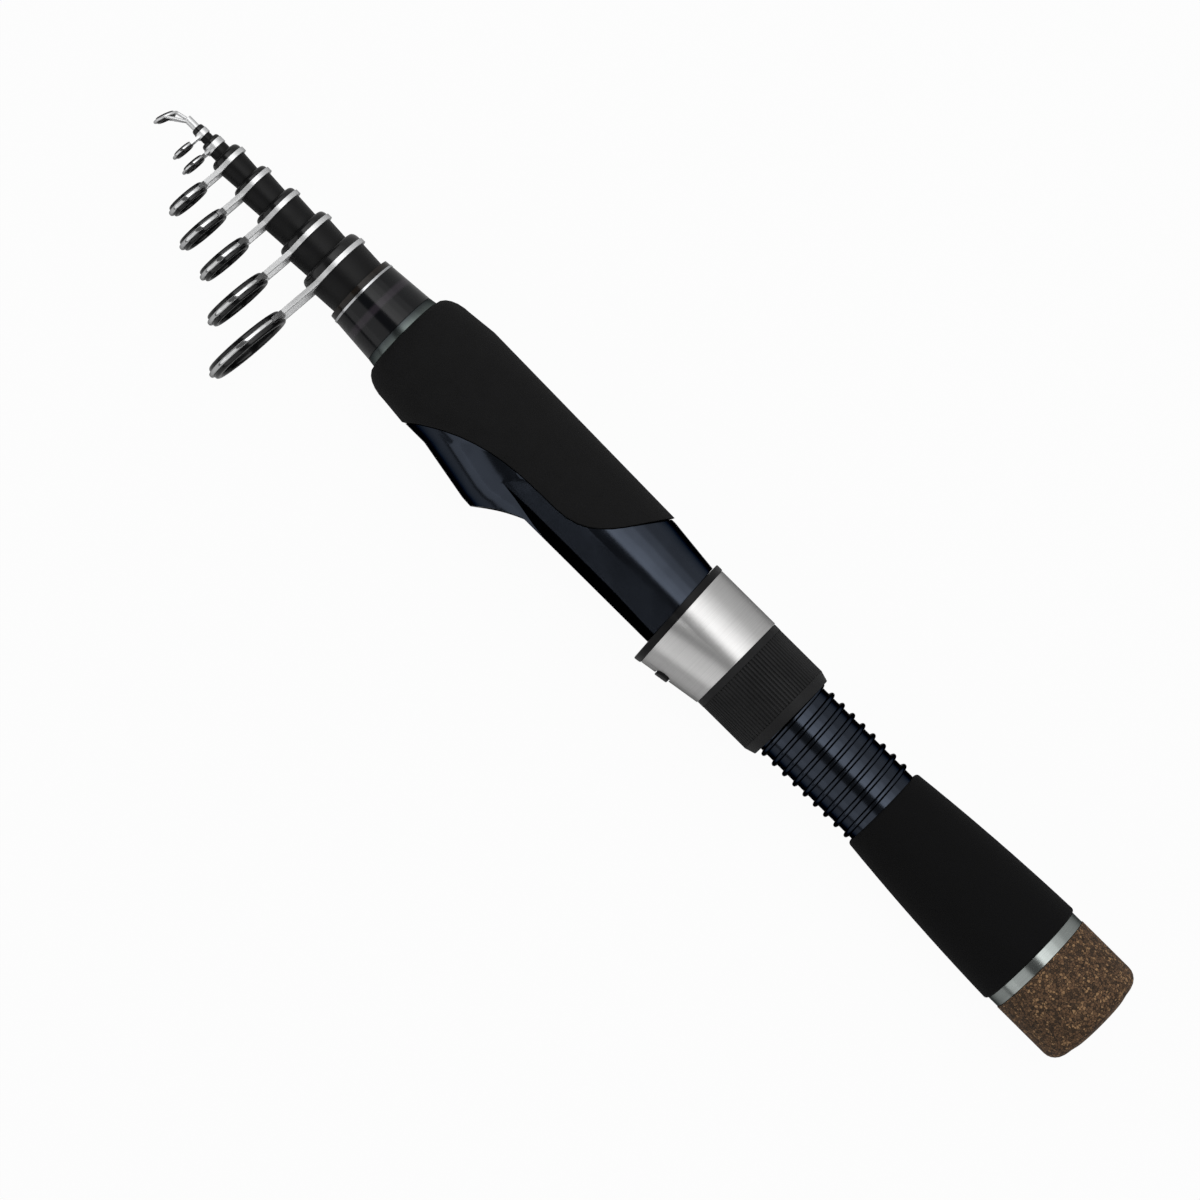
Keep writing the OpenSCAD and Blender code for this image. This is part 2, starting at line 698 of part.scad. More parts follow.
module hood_core() {
    color("#17181b")
        difference() {
            union() {
                hood_form(z_hood, z_shell_front + stop_gap, core_r);
                hood_form(z_shell_front + stop_gap, z_hood_front, shell_r + core_lip_h, hood_slant);
                intersection() {
                    button_peg(button_r, nut_bore_r, far);
                    leaning_cylinder(
                        z_hood, 0, hood_tilt, shell_r - hood_ease + button_h, shell_l, 2 * shell_l
                    );
                }
            }
            rod_cylinder(z_hood - past, z_hood_front + past, nut_bore_r);
            rod_cylinder(z_hood - past, z_hood + neck_l + turn_play, neck_r + turn_play);
            intersection() {
                leaning_cylinder(z_hood, 0, hood_tilt, core_r - core_roof, 0, 2 * shell_l);
                across_rod(
                    [
                        [z_hood + core_back, 0], [z_hood_front + past, 0],
                        [z_hood_front + past, far], [z_hood + core_back, far]
                    ],
                    foot_half
                );
            }
        }
}

module hood_shell() {
    color("#c9cbcd")
        difference() {
            hood_form(z_hood, z_shell_front, shell_r);
            hood_form(z_hood - past, z_shell_front + past, shell_bore_r);
            button_peg(button_r + turn_play, 0, far);
        }
}

// Outline of the ribbed part of the nut, one tooth and one gap for each rib
function rib_outline() = [
    for (i = [0:rib_count - 1])
        for (corner = rib_corners)
            let (a = (i + corner[0]) * 360 / rib_count)
            (nut_r - rib_step + corner[1] * rib_h) * [cos(a), sin(a)]
];

module lock_nut() {
    z_ribs = z_nut + nut_chamfer_l;
    ribs_l = z_nut_front - nut_border - z_ribs;
    color("#202123")
        difference() {
            union() {
                turned([
                    [0, z_nut], [nut_r - nut_chamfer_h, z_nut], [nut_r, z_ribs], [0, z_ribs]
                ]);
                along_rod() translate([0, 0, z_ribs]) linear_extrude(ribs_l) polygon(rib_outline());
                rod_cylinder(z_nut_front - nut_border, z_nut_front, nut_r);
                rod_cylinder(z_nut_front, z_hood + neck_l, neck_r);
            }
            rod_cylinder(z_nut - past, z_hood + neck_l + past, nut_bore_r);
        }
}

// Station where the tip guide's socket closes
z_socket_end = front_z(1) - tip_wire_r;

// Solid glass tip that slides in section 2
module tip_rod() {
    z_end = z_socket_end - stop_gap;
    color("#1d1e20")
        turned([[0, z_tubes], [tube_out(1, z_tubes), z_tubes], [tube_out(1, z_end), z_end], [0, z_end]]);
}

module tube(k) {
    color("#202225")
        turned([
            [mouth_bore(k - 1, z_tubes), z_tubes], [tube_out(k, z_tubes), z_tubes],
            [tube_out(k, front_z(k)), front_z(k)], [mouth_bore(k - 1, front_z(k)), front_z(k)]
        ]);
}

module collar(k) {
    bore_r = tube_out(k, base_z(k)) + glue;
    z_to = band_z(k) - stop_gap;
    color("#1a1b1d")
        turned([
            [bore_r, base_z(k)], [collar_rear_r(k), base_z(k)], [collar_front_r(k), z_to], [bore_r, z_to]
        ]);
}

module nose(k) {
    bore_r = tube_out(k, base_z(k)) + glue;
    z_from = nose_z(k) + stop_gap;
    z_to = front_z(k);
    round_l = nose_round_l * (z_to - z_from);
    round_h = nose_round_h * (nose_r(k) - bore_r);
    corner = [
        for (p = arc([0, 0], 1, 0, 90))
            [nose_r(k) - round_h + round_h * p[0], z_to - round_l + round_l * p[1]]
    ];
    color("#141416") turned(concat([[bore_r, z_from], [nose_r(k), z_from]], corner, [[bore_r, z_to]]));
}

// Places a guide's legs and ring in their leaning plane, at the bend below the band
module guide_plane(k) {
    translate([band_z(k) + band_l(k) / 2, bend_y(k), 0]) rotate([0, 0, -guide_lean]) children();
}

// Flat sheet across the rod from an outline of height and width
module sheet(t) {
    rotate([90, 0, 90]) translate([0, 0, -t / 2]) linear_extrude(t) children();
}

// Metal rim of a guide with rounded outer edges, in its own plane
module rim(r, t) {
    edge = t * rim_round;
    along_rod()
        rotate_extrude()
            polygon(concat(
                [[r - rim_t, t / 2], [r - rim_t, -t / 2]],
                arc([r - edge, edge - t / 2], edge, -90, 0),
                arc([r - edge, t / 2 - edge], edge, 0, 90)
            ));
}

// Stamped frame: band on the tube, two legs and the rim that holds the ceramic ring
module guide_frame(k) {
    bore_r = tube_out(k, base_z(k)) + glue;
    rim_mid = rim_r[k - 1] - rim_t / 2;
    foot = [-strap_w(k) / 4, leg_out(k) - strap_w(k) / 2];
    top = [rim_at(k) - rim_mid * cos(leg_angle), rim_mid * sin(leg_angle)];
    color("#c3c6c9") {
        difference() {
            union() {
                rod_cylinder(band_z(k), nose_z(k), band_r(k));
                for (side = [-1, 1])
                    translate([band_z(k) + band_l(k) / 2, 0, 0])
                        sheet(sheet_t(k))
                            polygon([
                                [0, side * leg_in(k)], [bend_y(k), side * leg_in(k)],
                                [bend_y(k), side * leg_out(k)], [0, side * band_r(k)]
                            ]);
                guide_plane(k) {
                    for (side = [-1, 1])
                        sheet(sheet_t(k))
                            polygon(strap([foot[0], side * foot[1]], [top[0], side * top[1]], strap_w(k)));
                    translate([0, rim_at(k), 0]) rim(rim_r[k - 1], sheet_t(k));
                }
            }
            rod_cylinder(band_z(k) - past, nose_z(k) + past, bore_r);
        }
    }
}

// Ceramic ring with rounded faces, on its own axis
module ceramic_ring(k) {
    r_out = rim_r[k - 1] - rim_t - glue;
    r_in = ring_bore_r(k);
    half_l = ring_l[k - 1] / 2;
    edge = (r_out - r_in) * ring_round;
    color("#0e0e0f")
        along_rod()
            rotate_extrude()
                polygon(concat(
                    arc([r_out - edge, half_l - edge], edge, 0, 90),
                    arc([r_in + edge, half_l - edge], edge, 90, 180),
                    arc([r_in + edge, edge - half_l], edge, 180, 270),
                    arc([r_out - edge, edge - half_l], edge, 270, 360)
                ));
}

module guide_ring(k) {
    guide_plane(k) translate([0, rim_at(k), 0]) ceramic_ring(k);
}

// Places the tip guide's ring at the end of the rod
module tip_plane() {
    translate([base_z(1) + tip_reach, rim_off[0], 0]) rotate([0, 0, -tip_lean]) children();
}

// Tip guide: socket on the tip rod, one straight leg and two swept legs to the rim
module tip_top_frame() {
    bore_r = tube_out(1, base_z(1)) + glue;
    tip_socket_r = bore_r + tip_tube_t;
    rim_mid = rim_r[0] - rim_t / 2;
    z_ring = base_z(1) + tip_reach;
    root_y = tip_socket_r - tip_wire_r;
    top = [z_ring - rim_mid * sin(tip_lean), rim_off[0] - rim_mid * cos(tip_lean), 0];
    color("#cfd2d4")
        difference() {
            union() {
                rod_cylinder(base_z(1), front_z(1), tip_socket_r);
                wire([z_socket_end, 0, 0], top, tip_wire_r);
                for (side = [-1, 1])
                    wire(
                        [z_socket_end, root_y, side * root_y / 2], [z_ring, rim_off[0], side * rim_mid], tip_wire_r
                    );
                tip_plane() rim(rim_r[0], small_frame_t);
            }
            rod_cylinder(base_z(1) - past, z_socket_end, bore_r);
            tip_plane() rod_cylinder(-ring_l[0], ring_l[0], rim_r[0] - rim_t);
        }
}

module tip_top_ring() {
    tip_plane() ceramic_ring(1);
}

handle_blank();
butt_socket();
rear_grip();
reel_seat();
foregrip();
winding_check();
front_wrap();
mouth_ring();
trim_ring();
butt_plug();
butt_cork();
butt_bumper();
hood_core();
hood_shell();
lock_nut();
tip_rod();
tip_top_frame();
tip_top_ring();
for (k = [2:sections]) {
    tube(k);
    collar(k);
    guide_frame(k);
    guide_ring(k);
    nose(k);
}
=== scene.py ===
"""Looks of a telescopic spinning rod, closed for travel.

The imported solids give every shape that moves. This script dresses them, models the screw
threads that lie on them, and sets the stage, the lamps and the camera. Lengths are in metres.
+X runs from the butt to the tip, +Y points to the line guides, and the camera looks down on
the rod from +Z.
"""

import json
import logging
import math
from collections.abc import Callable
from dataclasses import dataclass, replace
from enum import Enum

import bpy
from mathutils import Matrix, Vector

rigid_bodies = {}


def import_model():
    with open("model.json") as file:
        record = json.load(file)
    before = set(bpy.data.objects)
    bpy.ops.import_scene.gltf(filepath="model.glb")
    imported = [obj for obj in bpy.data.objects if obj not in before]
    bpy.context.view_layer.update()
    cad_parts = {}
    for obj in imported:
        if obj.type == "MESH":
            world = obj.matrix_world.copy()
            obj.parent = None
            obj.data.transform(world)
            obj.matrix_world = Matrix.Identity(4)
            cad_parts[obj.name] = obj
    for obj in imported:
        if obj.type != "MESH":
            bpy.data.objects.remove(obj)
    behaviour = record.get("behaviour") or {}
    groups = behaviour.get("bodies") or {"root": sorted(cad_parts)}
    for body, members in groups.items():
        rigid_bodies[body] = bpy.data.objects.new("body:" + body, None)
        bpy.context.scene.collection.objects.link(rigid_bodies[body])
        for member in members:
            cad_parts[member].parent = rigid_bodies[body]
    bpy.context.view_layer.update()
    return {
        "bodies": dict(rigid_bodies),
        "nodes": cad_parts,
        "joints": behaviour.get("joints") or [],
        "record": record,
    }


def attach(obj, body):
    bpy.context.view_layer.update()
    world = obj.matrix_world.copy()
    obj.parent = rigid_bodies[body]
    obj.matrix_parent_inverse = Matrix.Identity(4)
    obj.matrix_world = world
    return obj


log = logging.getLogger("rod")

Colour = tuple[float, float, float]
Limits = tuple[float, float]
Socket = bpy.types.NodeSocket
Sockets = bpy.types.bpy_prop_collection
Input = float | tuple | Socket

WHITE = (1.0, 1.0, 1.0, 1.0)
# A Mix node's numbers for its two colours and for the mixed one
MIX_A, MIX_B, MIX_RESULT = 6, 7, 2
# Most of a noise lies between these values
NOISE_LIMITS = (0.3, 0.7)
# Points that lie closer together than this are one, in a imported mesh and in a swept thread
WELD_GAP = 1e-6
SWEEP_GAP = 1e-7
# Edges sharper than this many degrees stay sharp where nothing else is said
CREASE = 32.0
ROUNDING_STEPS = 2


class Graph:
    """Adds and joins the nodes of one shader tree."""

    def __init__(self, tree: bpy.types.NodeTree) -> None:
        """Keeps the tree to work on."""
        self.tree = tree

    def add(
        self, kind: str, inputs: dict[str | int, Input] | None = None, **settings: object
    ) -> bpy.types.Node:
        """Adds a node.

        Args:
            kind: The node's type, without the "ShaderNode" that all of them start with.
            inputs: Values, or sockets to join, for the node's inputs by name or number.
            **settings: The node's own properties.

        Returns:
            The new node.
        """
        node = self.tree.nodes.new("ShaderNode" + kind)
        for name, value in settings.items():
            setattr(node, name, value)
        for key, value in (inputs or {}).items():
            if isinstance(value, Socket):
                self.link(value, node.inputs[key])
            else:
                node.inputs[key].default_value = value
        return node

    def link(self, source: Socket, target: Socket) -> None:
        """Joins an output to an input."""
        self.tree.links.new(source, target)

    def place(self) -> Socket:
        """Returns the point's place in the rod's frame, in metres."""
        return self.add("TexCoord").outputs["Object"]

    def axes(self) -> Sockets:
        """Returns the three values of the point's place, along X, Y and Z."""
        return self.add("SeparateXYZ", {0: self.place()}).outputs

    def math(self, operation: str, a: Input, b: Input = 0.0) -> Socket:
        """Joins two values by a Math node and returns its result."""
        return self.add("Math", {0: a, 1: b}, operation=operation).outputs[0]

    def stretch(self, vector: Socket, factors: Input) -> Socket:
        """Multiplies a vector by three factors and returns the result."""
        return self.add("VectorMath", {0: vector, 1: factors}, operation="MULTIPLY").outputs[0]

    def noise(self, place: Socket, scale: Input, detail: float, roughness: float = 0.5) -> Socket:
        """Returns the value of a noise at a place."""
        inputs = {"Vector": place, "Scale": scale, "Detail": detail, "Roughness": roughness}
        return self.add("TexNoise", inputs).outputs[0]

    def ramp(
        self, value: Input, low: float, high: float, start: float = 0.0, end: float = 1.0
    ) -> Socket:
        """Turns a value smoothly from start at low to end at high.

        Args:
            value: The value to turn.
            low: Where the change starts.
            high: Where the change ends.
            start: Result up to low.
            end: Result from high.

        Returns:
            The result's socket.
        """
        inputs = {0: value, 1: low, 2: high, 3: start, 4: end}
        return self.add("MapRange", inputs, interpolation_type="SMOOTHSTEP").outputs[0]

    def spread(self, noise: Socket) -> Socket:
        """Spreads the usual values of a noise smoothly over 0 to 1."""
        return self.ramp(noise, *NOISE_LIMITS)

    def blend(self, mask: Input, a: Input, b: Input) -> Socket:
        """Mixes two colours by a mask.

        Args:
            mask: 0 gives a, 1 gives b.
            a: First colour, three numbers or a socket.
            b: Second colour, three numbers or a socket.

        Returns:
            The mixed colour's socket.
        """
        first, second = (c if isinstance(c, Socket) else (*c, 1.0) for c in (a, b))
        inputs = {0: mask, MIX_A: first, MIX_B: second}
        return self.add("Mix", inputs, data_type="RGBA").outputs[MIX_RESULT]


class Effect(Enum):
    """Surface effects that more than one finish may use, each a shader node group."""

    GRAIN = "moulded_grain"
    PORES = "foam_pores"
    TURNED = "turned_lines"
    HANDLING = "handling_marks"
    BAND = "band_along_rod"
    TAPE = "spiral_tape"


class EffectShelf:
    """Builds each shared effect once and places it in materials."""

    def __init__(self) -> None:
        """Starts with no group built."""
        self.groups: dict[Effect, bpy.types.NodeTree] = {}

    def put(self, graph: Graph, effect: Effect, **values: float) -> Sockets:
        """Places an effect in a material.

        Args:
            graph: The material's graph.
            effect: The effect to place.
            **values: The effect's inputs, in lower case.

        Returns:
            The effect's outputs.
        """
        if effect not in self.groups:
            self.groups[effect] = self.build(effect)
        node = graph.add("Group", node_tree=self.groups[effect])
        for name, value in values.items():
            node.inputs[name.capitalize()].default_value = value
        return node.outputs

    def build(self, effect: Effect) -> bpy.types.NodeTree:
        """Builds an effect's node group.

        Args:
            effect: The effect to build.

        Returns:
            Its node group.
        """
        inputs, outputs, wire = {
            Effect.GRAIN: (["Scale"], ["Height", "Tone"], self.wire_grain),
            Effect.PORES: (["Scale"], ["Height", "Tone"], self.wire_pores),
            Effect.TURNED: (["Lines"], ["Height", "Tone"], self.wire_turned),
            Effect.HANDLING: (["Scale"], ["Mask"], self.wire_handling),
            Effect.BAND: (["Middle", "Half", "Soft"], ["Mask"], self.wire_band),
            Effect.TAPE: (["Pitch"], ["Height", "Tone"], self.wire_tape),
        }[effect]
        tree = bpy.data.node_groups.new(effect.value, "ShaderNodeTree")
        for side, names in {"INPUT": inputs, "OUTPUT": outputs}.items():
            for name in names:
                tree.interface.new_socket(name, in_out=side, socket_type="NodeSocketFloat")
        graph = Graph(tree)
        given = tree.nodes.new("NodeGroupInput").outputs
        result = tree.nodes.new("NodeGroupOutput").inputs
        for name, socket in wire(graph, given).items():
            graph.link(socket, result[name])
        return tree

    def wire_grain(self, graph: Graph, given: Sockets) -> dict[str, Socket]:
        """Fine even grain of a moulded or cast surface, with slow changes of tone.

        Args:
            graph: The group's graph.
            given: The group's inputs.

        Returns:
            The group's outputs by name.
        """
        tone_scale = 140.0
        place = graph.place()
        fine = graph.noise(place, given["Scale"], 3.0)
        slow = graph.noise(place, tone_scale, 2.0)
        return {"Height": fine, "Tone": graph.spread(slow)}

    def wire_pores(self, graph: Graph, given: Sockets) -> dict[str, Socket]:
        """Cut cells of closed-cell foam: small pits of mixed size, and a mottled tone.

        Args:
            graph: The group's graph.
            given: The group's inputs.

        Returns:
            The group's outputs by name.
        """
        fuzz_scale, mottle_scale = 5200.0, 210.0
        pit_share, fuzz_share = 0.7, 0.3
        pit_limits = (0.05, 0.55)
        place = graph.place()
        cells = graph.add("TexVoronoi", {"Vector": place, "Scale": given["Scale"]}, feature="F1")
        pit = graph.ramp(cells.outputs["Distance"], *pit_limits)
        fuzz = graph.noise(place, fuzz_scale, 2.0)
        height = graph.math(
            "ADD",
            graph.math("MULTIPLY", pit, pit_share),
            graph.math("MULTIPLY", fuzz, fuzz_share),
        )
        cell_tone = graph.add("SeparateColor", {0: cells.outputs["Color"]}).outputs[0]
        mottle = graph.spread(graph.noise(place, mottle_scale, 4.0))
        tone = graph.math("MULTIPLY", graph.math("ADD", cell_tone, mottle), 0.5)
        return {"Height": height, "Tone": tone}

    def wire_turned(self, graph: Graph, given: Sockets) -> dict[str, Socket]:
        """Fine rings that a lathe or a polishing belt leaves round the rod.

        Args:
            graph: The group's graph.
            given: The group's inputs.

        Returns:
            The group's outputs by name.
        """
        round_scale = 45.0
        scales = {0: given["Lines"], 1: round_scale, 2: round_scale}
        place = graph.stretch(graph.place(), graph.add("CombineXYZ", scales).outputs[0])
        lines = graph.noise(place, 1.0, 4.0, roughness=0.6)
        return {"Height": lines, "Tone": graph.spread(lines)}

    def wire_handling(self, graph: Graph, given: Sockets) -> dict[str, Socket]:
        """Patches that hands have dulled, with a few hairlines.

        Args:
            graph: The group's graph.
            given: The group's inputs.

        Returns:
            The group's outputs by name.
        """
        hair_stretch, hair_scale = (0.12, 1.0, 0.7), 2600.0
        hair_limits, hair_share = (0.68, 0.74), 0.5
        patch_limits = (0.45, 0.75)
        place = graph.place()
        patch = graph.ramp(graph.noise(place, given["Scale"], 3.0), *patch_limits)
        hair = graph.noise(graph.stretch(place, hair_stretch), hair_scale, 1.0)
        hairline = graph.ramp(hair, *hair_limits, 0.0, hair_share)
        return {"Mask": graph.math("MAXIMUM", patch, hairline)}

    def wire_band(self, graph: Graph, given: Sockets) -> dict[str, Socket]:
        """Mask of a band round the rod, by its middle, half its width and its edges' softness.

        Args:
            graph: The group's graph.
            given: The group's inputs.

        Returns:
            The group's outputs by name.
        """
        off = graph.math("ABSOLUTE", graph.math("SUBTRACT", graph.axes()[0], given["Middle"]))
        past = graph.math("SUBTRACT", off, given["Half"])
        mask = graph.math("SUBTRACT", 1.0, graph.math("DIVIDE", past, given["Soft"]))
        mask.node.use_clamp = True
        return {"Mask": mask}

    def wire_tape(self, graph: Graph, given: Sockets) -> dict[str, Socket]:
        """Low ridges that the winding tape leaves round a rolled tube, and its fibres' tone.

        Args:
            graph: The group's graph.
            given: The group's inputs.

        Returns:
            The group's outputs by name.
        """
        fibre_stretch = (90.0, 2400.0, 2400.0)
        ridge_share = 0.16
        axes = graph.axes()
        turn = graph.math("DIVIDE", graph.math("ARCTAN2", axes[1], axes[2]), math.tau)
        phase = graph.math("ADD", graph.math("DIVIDE", axes[0], given["Pitch"]), turn)
        share = graph.math("FRACT", phase)
        edge = graph.math("MINIMUM", share, graph.math("SUBTRACT", 1.0, share))
        fibres = graph.noise(graph.stretch(graph.place(), fibre_stretch), 1.0, 2.0)
        return {"Height": graph.ramp(edge, 0.0, ridge_share), "Tone": graph.spread(fibres)}


@dataclass(frozen=True)
class Finish:
    """A finish's plain values. Its kind of surface says how they vary.

    Attributes:
        name: The material's name.
        colour: Its colour.
        roughness: Its roughness where hands have not dulled it.
        metallic: 1 for a metal or metallic paint, otherwise 0.
        specular: Strength of the reflection of what isn't metallic.
        edge: Tint of what it reflects at a flat angle.
        coat: Weight of the clear coat.
        coat_roughness: Roughness of the clear coat.
        dark: Share of the colour in its darkest places.
        light: Share of the colour in its lightest places.
        dulling: How much rougher it is where hands have dulled it.
        marks: Scale of the dulled patches.
        relief: Depth of its fine relief.
    """

    name: str
    colour: Colour
    roughness: float
    metallic: float = 0.0
    specular: float = 0.5
    edge: Colour = (1.0, 1.0, 1.0)
    coat: float = 0.0
    coat_roughness: float = 0.04
    dark: float = 0.82
    light: float = 1.18
    dulling: float = 0.12
    marks: float = 90.0
    relief: float = 4e-6

    def make(self, shelf: EffectShelf) -> bpy.types.Material:
        """Builds the finish's material.

        Args:
            shelf: The shared effects.

        Returns:
            The material.
        """
        material = bpy.data.materials.new(self.name)
        material.use_nodes = True
        shader = material.node_tree.nodes["Principled BSDF"]
        plain = {
            "Base Color": (*self.colour, 1.0),
            "Roughness": self.roughness,
            "Metallic": self.metallic,
            "Specular IOR Level": self.specular,
            "Specular Tint": (*self.edge, 1.0),
            "Coat Weight": self.coat,
            "Coat Roughness": self.coat_roughness,
        }
        for socket, value in plain.items():
            shader.inputs[socket].default_value = value
        self.vary(Graph(material.node_tree), shader, shelf)
        return material

    def vary(self, graph: Graph, shader: bpy.types.Node, shelf: EffectShelf) -> None:
        """Says what changes over the surface, in each kind of finish."""
        raise NotImplementedError

    def shade(self, share: float) -> Colour:
        """Returns the finish's colour, lighter or darker by a share."""
        return tuple(channel * share for channel in self.colour)

    def tones(self, graph: Graph, mask: Socket) -> Socket:
        """Returns the finish's colour, from its darkest to its lightest by a mask."""
        return graph.blend(mask, self.shade(self.dark), self.shade(self.light))

    def dulled(self, graph: Graph, shelf: EffectShelf) -> Socket:
        """Returns a roughness that is higher where hands have dulled the surface."""
        mask = shelf.put(graph, Effect.HANDLING, scale=self.marks)["Mask"]
        return graph.ramp(mask, 0.0, 1.0, self.roughness, self.roughness + self.dulling)

    def join(
        self,
        graph: Graph,
        shader: bpy.types.Node,
        colour: Socket,
        roughness: Socket,
        height: Socket,
    ) -> None:
        """Joins what changes over the surface to the shader.

        Args:
            graph: The material's graph.
            shader: Its Principled shader.
            colour: The colour.
            roughness: The roughness.
            height: Height of the fine relief, 0 to 1.
        """
        graph.link(colour, shader.inputs["Base Color"])
        graph.link(roughness, shader.inputs["Roughness"])
        bump = graph.add("Bump", {"Strength": 1.0, "Distance": self.relief, "Height": height})
        graph.link(bump.outputs["Normal"], shader.inputs["Normal"])


@dataclass(frozen=True)
class Moulded(Finish):
    """Moulded plastic, rubber or fired ceramic.

    Attributes:
        grain: Scale of its grain.
    """

    grain: float = 4000.0

    def vary(self, graph: Graph, shader: bpy.types.Node, shelf: EffectShelf) -> None:
        """Varies tone, gloss and grain.

        Args:
            graph: The material's graph.
            shader: Its Principled shader.
            shelf: The shared effects.
        """
        grain = shelf.put(graph, Effect.GRAIN, scale=self.grain)
        colour = self.tones(graph, grain["Tone"])
        self.join(graph, shader, colour, self.dulled(graph, shelf), grain["Height"])


@dataclass(frozen=True)
class Foam(Finish):
    """Cut closed-cell foam.

    Attributes:
        cells: Scale of its cells.
        smoother: How much less rough its darkest places are.
    """

    dark: float = 0.7
    light: float = 1.35
    relief: float = 4.5e-5
    cells: float = 2300.0
    smoother: float = 0.08

    def vary(self, graph: Graph, shader: bpy.types.Node, shelf: EffectShelf) -> None:
        """Varies tone and pits.

        Args:
            graph: The material's graph.
            shader: Its Principled shader.
            shelf: The shared effects.
        """
        pores = shelf.put(graph, Effect.PORES, scale=self.cells)
        tone = pores["Tone"]
        rough = graph.ramp(tone, 0.0, 1.0, self.roughness - self.smoother, self.roughness)
        self.join(graph, shader, self.tones(graph, tone), rough, pores["Height"])


@dataclass(frozen=True)
class Metal(Finish):
    """Turned and polished metal.

    Attributes:
        lines: Scale of its turning lines along the rod.
    """

    metallic: float = 1.0
    dark: float = 0.94
    light: float = 1.05
    dulling: float = 0.06
    marks: float = 70.0
    relief: float = 1.2e-6
    lines: float = 9000.0

    def vary(self, graph: Graph, shader: bpy.types.Node, shelf: EffectShelf) -> None:
        """Varies tone, gloss and turning lines.

        Args:
            graph: The material's graph.
            shader: Its Principled shader.
            shelf: The shared effects.
        """
        turned = shelf.put(graph, Effect.TURNED, lines=self.lines)
        colour = self.tones(graph, turned["Tone"])
        self.join(graph, shader, colour, self.dulled(graph, shelf), turned["Height"])


@dataclass(frozen=True)
class GuideMetal(Metal):
    """Stamped line guide: satin bands and legs, and a polished rim.

    Attributes:
        rim_from: Height over the rod's axis where the rim starts.
        rim_soft: Half of the way in which satin turns to polish.
        rim_roughness: Roughness of the rim.
        rim_share: Share of the colour on the rim.
    """

    dark: float = 0.95
    light: float = 1.04
    relief: float = 3e-7
    rim_from: float = 1.0
    rim_soft: float = 3e-4
    rim_roughness: float = 0.12
    rim_share: float = 0.85

    def vary(self, graph: Graph, shader: bpy.types.Node, shelf: EffectShelf) -> None:
        """Varies the tone, and polishes what stands higher than the rim's near edge.

        Args:
            graph: The material's graph.
            shader: Its Principled shader.
            shelf: The shared effects.
        """
        turned = shelf.put(graph, Effect.TURNED, lines=self.lines)
        near, far = self.rim_from - self.rim_soft, self.rim_from + self.rim_soft
        rim = graph.ramp(graph.axes()[1], near, far)
        satin = self.tones(graph, turned["Tone"])
        colour = graph.blend(rim, satin, self.shade(self.rim_share))
        rough = graph.ramp(rim, 0.0, 1.0, self.roughness, self.rim_roughness)
        self.join(graph, shader, colour, rough, turned["Height"])


@dataclass(frozen=True)
class RolledTube(Finish):
    """Lacquered tube, rolled from fibre sheet and cured under tape.

    Attributes:
        tape: Way along the rod in one turn of the tape.
    """

    dark: float = 0.7
    light: float = 1.4
    dulling: float = 0.1
    marks: float = 120.0
    relief: float = 6e-6
    tape: float = 0.0026

    def vary(self, graph: Graph, shader: bpy.types.Node, shelf: EffectShelf) -> None:
        """Varies the fibres' tone, the gloss and the tape's ridges.

        Args:
            graph: The material's graph.
            shader: Its Principled shader.
            shelf: The shared effects.
        """
        tape = shelf.put(graph, Effect.TAPE, pitch=self.tape)
        colour = self.tones(graph, tape["Tone"])
        self.join(graph, shader, colour, self.dulled(graph, shelf), tape["Height"])


@dataclass(frozen=True)
class Band:
    """A band round the rod, laid as colour: on the front wrap the band's own colour, on the winding
    check a painted sheen.

    Attributes:
        middle: Station of its middle.
        half: Half its width.
        soft: Width over which its edge fades.
        tint: Its colour.
    """

    middle: float
    half: float
    soft: float
    tint: Colour


@dataclass(frozen=True)
class BandedLacquerAndSheen(Finish):
    """Clear lacquer over coloured bands round the rod, and on the winding check metal with a band
    of painted sheen.

    Attributes:
        bands: The bands, from the lowest layer to the top.
        grain: Scale of the lacquer's waves.
    """

    dark: float = 0.85
    light: float = 1.15
    dulling: float = 0.07
    marks: float = 110.0
    relief: float = 2e-6
    bands: tuple[Band, ...] = ()
    grain: float = 1500.0

    def vary(self, graph: Graph, shader: bpy.types.Node, shelf: EffectShelf) -> None:
        """Lays the bands over the ground colour and lets the lacquer wave a little.

        Args:
            graph: The material's graph.
            shader: Its Principled shader.
            shelf: The shared effects.
        """
        grain = shelf.put(graph, Effect.GRAIN, scale=self.grain)
        colour = self.tones(graph, grain["Tone"])
        for band in self.bands:
            mask = shelf.put(
                graph, Effect.BAND, middle=band.middle, half=band.half, soft=band.soft
            )["Mask"]
            # Each band's colour goes over the ground colour; the winding check's band is painted
            # sheen.
            colour = graph.blend(mask, colour, band.tint)
        self.join(graph, shader, colour, self.dulled(graph, shelf), grain["Height"])


